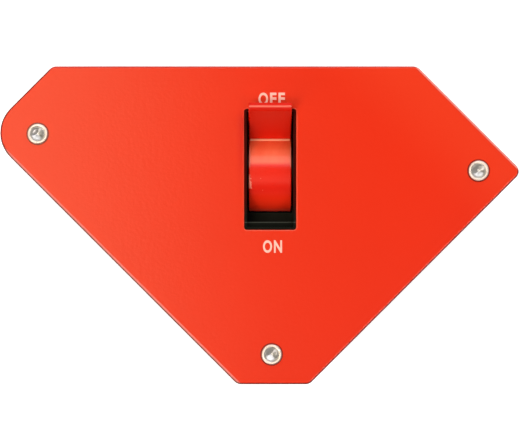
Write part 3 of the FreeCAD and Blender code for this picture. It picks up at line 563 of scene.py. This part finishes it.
# The bead is a rod with rounded ends, laid across the lip of the drum; its pale coat is a painted
# highlight.
BEAD_RADIUS, BEAD_LENGTH, BEAD_ROUND = 0.45 * MM, 2 * HALF_WIDTH - 0.8 * MM, 0.38 * MM
bead_rise, bead_reach = 12.22, 6.98
bm = bmesh.new()
bmesh.ops.create_cone(bm, cap_ends=True, segments=28, radius1=BEAD_RADIUS, radius2=BEAD_RADIUS,
                      depth=BEAD_LENGTH)
ends = [edge for edge in bm.edges if abs(edge.verts[0].co.z - edge.verts[1].co.z) < 1e-6]
bmesh.ops.bevel(bm, geom=ends, offset=BEAD_ROUND, offset_type="OFFSET", affect="EDGES",
                segments=5, profile=0.5, material=-1, clamp_overlap=False)
bmesh.ops.rotate(bm, verts=bm.verts, cent=(0, 0, 0), matrix=Matrix.Rotation(math.radians(90), 3, "Y"))
bmesh.ops.translate(bm, verts=bm.verts, vec=side_spot(bead_rise, bead_reach, 0))
bead = finish_piece("lever_bead", bm, lip_highlight, "rotor")
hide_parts("switch_lever")

# ---- Black mouldings ----------------------------------------------------------------------------
# The slot frame, the two core halves and the two magnet carriers are injection-moulded in black
# with a fine grain.  The rivets clamp the core between the plates, the front plate traps the frame
# by its flange, and the carriers turn with the lever.
BLACK, WALL_DUST, OPEN_JOINT = (0.003, 0.0034, 0.003), (0.009, 0.0095, 0.009), (0.0005, 0.0005, 0.0005)


def black_moulding(name, gloss):
    """Black plastic with a fine grain and a weak sheen."""
    material, tree, shader = new_material(name, 0.42)
    shader.inputs["Base Color"].default_value = (*BLACK, 1)
    shader.inputs["Specular IOR Level"].default_value = gloss
    bumped(shader, noise(tree, 1500.0), 0.25, 0.04 * MM)
    return material, tree, shader


carrier_black = black_moulding("black_moulding", 0.13)[0]
for node in ("left_magnet_carrier", "right_magnet_carrier"):
    dress(node, carrier_black)

# The core halves meet in a fine parting line, slightly open, with a sheen of dust on the walls.
core_black, tree, shader = black_moulding("core_black", 0.13)
from_joint = apart(axes(tree)[2], MIDDLE)
bumped(shader, product(ramp(from_joint, 0.45, 0.1), -0.25 * MM))
walls = coated(BLACK, WALL_DUST, ramp(noise(tree, 60.0, 5.0), 0.4, 0.8, unit=1))
walls = coated(walls, OPEN_JOINT, ramp(from_joint, 0.2, 0.1))
tree.links.new(walls, shader.inputs["Base Color"])
for node in ("front_core", "rear_core"):
    dress(node, core_black)

# The frame is matt, painted lighter at its lower end where the tab shades its top, with a painted
# highlight line across it.  A painted red reflection of the lever lies on its long sides.
MATT_BLACK, RIM_PAINTED_LIGHT = (0.0012, 0.0012, 0.0011), (0.007, 0.0085, 0.007)
PAINTED_RED_REFLECTION, HIGHLIGHT_GREY = (0.042, 0.0026, 0.0018), (0.05, 0.056, 0.05)
HIGHLIGHT_LINE = 1.08
frame_black, tree, shader = black_moulding("matt_black_frame", 0.02)
x, y = axes(tree)[:2]
rim = coated(MATT_BLACK, RIM_PAINTED_LIGHT, ramp(y, 12.0, 2.0))
rim = coated(rim, PAINTED_RED_REFLECTION, product(ramp(apart(x, SLOT_X), 8.0, 8.4), ramp(y, 2.5, 11.0)))
rim = coated(rim, HIGHLIGHT_GREY, ramp(apart(y, HIGHLIGHT_LINE), 0.22, 0.1))
tree.links.new(rim, shader.inputs["Base Color"])
dress("slot_frame", frame_black)

# ---- Magnets ------------------------------------------------------------------------------------
# Two sintered block magnets with bevelled edges and a dull nickel plating, each held in a pocket of
# its carrier.
nickel = metal("magnet_nickel", (0.52, 0.50, 0.46), 0.3, grain=700.0)
for side_name in ("left", "right"):
    dress(f"{side_name}_magnet", nickel)

# ---- Bearings, pole pieces and pins -------------------------------------------------------------
# Sintered bronze bushes carry the journals.  Pole caps and shoes are cut from mild steel bar, the
# spacers from steel tube, and the roll pins, ball and spring are bought-in bright spring steel.
bronze = metal("bush_bronze", (0.60, 0.36, 0.16), 0.38, grain=2500.0)
bright_steel = metal("bright_steel", (0.62, 0.61, 0.59), 0.28, grain=1200.0)
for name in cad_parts:
    if name.endswith("_bush"):
        dress(name, bronze)
    elif name.endswith(("_spacer_tube", "_pole_cap", "_pole_shoe", "_roll_pin")):
        dress(name, bright_steel)
dress("detent_ball", bright_steel)
dress("detent_spring", bright_steel)
